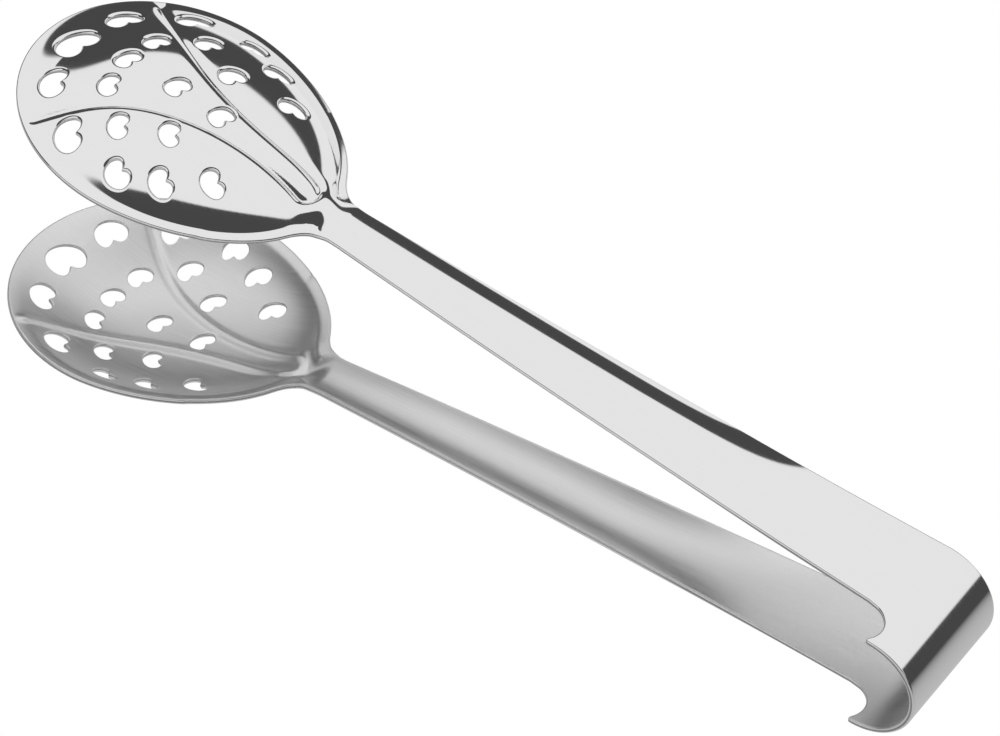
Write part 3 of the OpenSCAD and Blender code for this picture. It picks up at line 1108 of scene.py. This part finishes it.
@dataclass(frozen=True)
class Studio:
    """Pale floor, soft light and the camera at the photograph's viewing angle.

    The light is a large softbox overhead with straight sides, in a dark room. Each side is a plane through
    the object, whose normal is given along the view, to the right of it and upwards. Low white cards stand
    to the right behind the object and in front of it.
    """

    lens: float = 191.75
    sensor: float = 36.0
    azimuth: float = 33.971
    elevation: float = 42.324
    roll: float = -0.605
    distance: float = 1.05418
    aim: tuple[float, float, float] = (0.001559, 0.005192, 0.025)
    clip: tuple[float, float] = (0.05, 50.0)
    floor_size: float = 6.0
    softbox: Planes = ((-1.0, -0.3, 1.4), (-1.0, 0.22, 1.4), (1.0, 0.22, 0.5),
                       (1.0, 1.0, 0.75), (0.0, 1.0, 1.6), (0.0, -1.0, 5.7))
    right_card: Planes = ((0.0, 0.42, -1.0), (0.906, -0.423, 0.0))
    front_card: Planes = ((-0.42, -0.5, -1.0), (-1.0, 0.25, 0.0), (-1.0, -1.2, 0.0))
    softness: float = 0.02
    bright: float = 0.91
    dark: float = 0.068
    table: float = 0.54
    table_far: float = 0.86
    table_right: float = 0.155
    table_behind: float = 0.14
    table_softness: float = 0.045

    def camera(self) -> None:
        """Place the camera at a distance from the point it aims at, rolled about its own axis."""
        data = bpy.data.cameras.new("camera")
        data.lens, data.sensor_width, data.sensor_fit = self.lens, self.sensor, "HORIZONTAL"
        data.clip_start, data.clip_end = self.clip
        camera = bpy.data.objects.new("camera", data)
        bpy.context.scene.collection.objects.link(camera)
        a, e = math.radians(self.azimuth), math.radians(self.elevation)
        back = Vector((math.sin(a) * math.cos(e), -math.cos(a) * math.cos(e), math.sin(e)))
        turn = back.to_track_quat("Z", "Y").to_matrix().to_4x4()
        turn = turn @ Matrix.Rotation(math.radians(self.roll), 4, "Z")
        camera.matrix_world = Matrix.Translation(Vector(self.aim) + back * self.distance) @ turn
        bpy.context.scene.camera = camera

    def within(self, tree: Tree, where: Socket, sides: Planes) -> Socket:
        """Surroundings on the inner side of all planes: the product of smooth steps of the distances.

        Args:
            tree: Node tree of the world.
            where: Direction that is looked at.
            sides: Per plane, its normal along the view, to the right of it and upwards.

        Returns:
            1 inside, 0 outside.
        """
        a = math.radians(self.azimuth)
        ahead = Vector((-math.sin(a), math.cos(a), 0))
        right, up = Vector((math.cos(a), math.sin(a), 0)), Vector((0, 0, 1))
        product = None
        for along, aside, rise in sides:
            normal = (along * ahead + aside * right + rise * up).normalized()
            depth = add_node(tree, "ShaderNodeVectorMath", {0: where, 1: normal}, operation="DOT_PRODUCT")
            step = self.step(tree, depth.outputs["Value"], 0.0, self.softness)
            product = step if product is None else add_node(
                tree, "ShaderNodeMath", {0: product, 1: step}, operation="MULTIPLY").outputs["Value"]
        return product

    @staticmethod
    def step(tree: Tree, value: Socket, place: float, width: float) -> Socket:
        """Smooth step from 0 to 1 within a width beside a place, turned round if the width is negative."""
        limits = {"Value": value, "From Min": place - width, "From Max": place + width}
        return add_node(tree, "ShaderNodeMapRange", limits,
                        interpolation_type="SMOOTHSTEP").outputs["Result"]

    @staticmethod
    def between(tree: Tree, share: Socket, low: float, high: float | Socket) -> Socket:
        """Value that a share from 0 to 1 picks between two others."""
        limits = {"Value": share, "To Min": low, "To Max": high}
        return add_node(tree, "ShaderNodeMapRange", limits).outputs["Result"]

    @staticmethod
    def light(tree: Tree, kind: str, grey: Socket) -> Socket:
        """Make a shader that the camera sees as white and reflections as grey.

        Args:
            tree: Node tree of the floor or the world.
            kind: Blender's name for the shader.
            grey: Strength in reflections.

        Returns:
            The shader's output.
        """
        seen = add_node(tree, "ShaderNodeLightPath").outputs["Is Camera Ray"]
        level = add_node(tree, "ShaderNodeMix", {"Factor": seen, "A": grey, "B": 1.0}, data_type="FLOAT")
        white = {"Color": linear("#ffffff"), "Strength": level.outputs["Result"]}
        return add_node(tree, kind, white).outputs[0]

    def floor(self) -> None:
        """Lay a white light table under the object.

        Reflections see it as grey, lighter well behind the object and ending beyond the bow.
        """
        half = self.floor_size / 2
        mesh = bpy.data.meshes.new("floor")
        corners = [(-half, -half, 0), (half, -half, 0), (half, half, 0), (-half, half, 0)]
        mesh.from_pydata(corners, [], [(0, 1, 2, 3)])
        floor = bpy.data.objects.new("floor", mesh)
        bpy.context.scene.collection.objects.link(floor)
        material, tree = empty_material("light_table")
        where = add_node(tree, "ShaderNodeTexCoord").outputs["Object"]
        place = add_node(tree, "ShaderNodeSeparateXYZ", {"Vector": where})
        lit = self.step(tree, place.outputs["X"], self.table_right, -self.table_softness)
        behind = self.step(tree, place.outputs["Y"], self.table_behind, self.table_softness)
        table = self.between(tree, behind, self.table, self.table_far)
        grey = self.between(tree, lit, self.dark, table)
        light = self.light(tree, "ShaderNodeEmission", grey)
        add_node(tree, "ShaderNodeOutputMaterial", {"Surface": light})
        mesh.materials.append(material)

    def sky(self) -> None:
        """Light the scene with the softbox and the cards in a dark room, in front of a white backdrop."""
        world = bpy.data.worlds.new("studio")
        bpy.context.scene.world = world
        world.use_nodes = True
        tree = world.node_tree
        tree.nodes.clear()
        where = add_node(tree, "ShaderNodeTexCoord").outputs["Generated"]
        lit = self.within(tree, where, self.softbox)
        for card in (self.right_card, self.front_card):
            lit = add_node(tree, "ShaderNodeMath", {0: lit, 1: self.within(tree, where, card)},
                           operation="MAXIMUM").outputs["Value"]
        grey = self.between(tree, lit, self.dark, self.bright)
        light = self.light(tree, "ShaderNodeBackground", grey)
        add_node(tree, "ShaderNodeOutputWorld", {"Surface": light})

    def build(self) -> None:
        """Set up camera, floor and light, and show colours as they are."""
        self.camera()
        self.floor()
        self.sky()
        bpy.context.scene.view_settings.view_transform = "Standard"


def main() -> None:
    """Build the studio and the pieces of the strip in order, and report each piece."""
    logging.basicConfig(level=logging.INFO, format="%(name)s: %(message)s")
    Studio().build()
    strip, holes = Strip(), DrainHoles()
    edge = EdgeRound(strip.sheet)
    finishes_and_edge_shade = {Face.OUTER: POLISHED, Face.INNER: SATIN, Face.EDGE: SHEARED_AND_SHADED}
    materials = {face: finish.material() for face, finish in finishes_and_edge_shade.items()}
    for half in Half:
        bow = BowHalf(strip, half, edge)
        for part in (Arm(strip, half, edge), Bowl(strip, half, edge, holes), bow):
            piece = part.build(materials)
            if part is bow:
                bow.bend(piece)
                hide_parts("bow")
            else:
                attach(piece, f"{half.label}_jaw")
                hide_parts(piece.name.removesuffix("_sheet"))
            log.info("%s: %d faces", piece.name, len(piece.data.polygons))


if __name__ == "__main__":
    main()
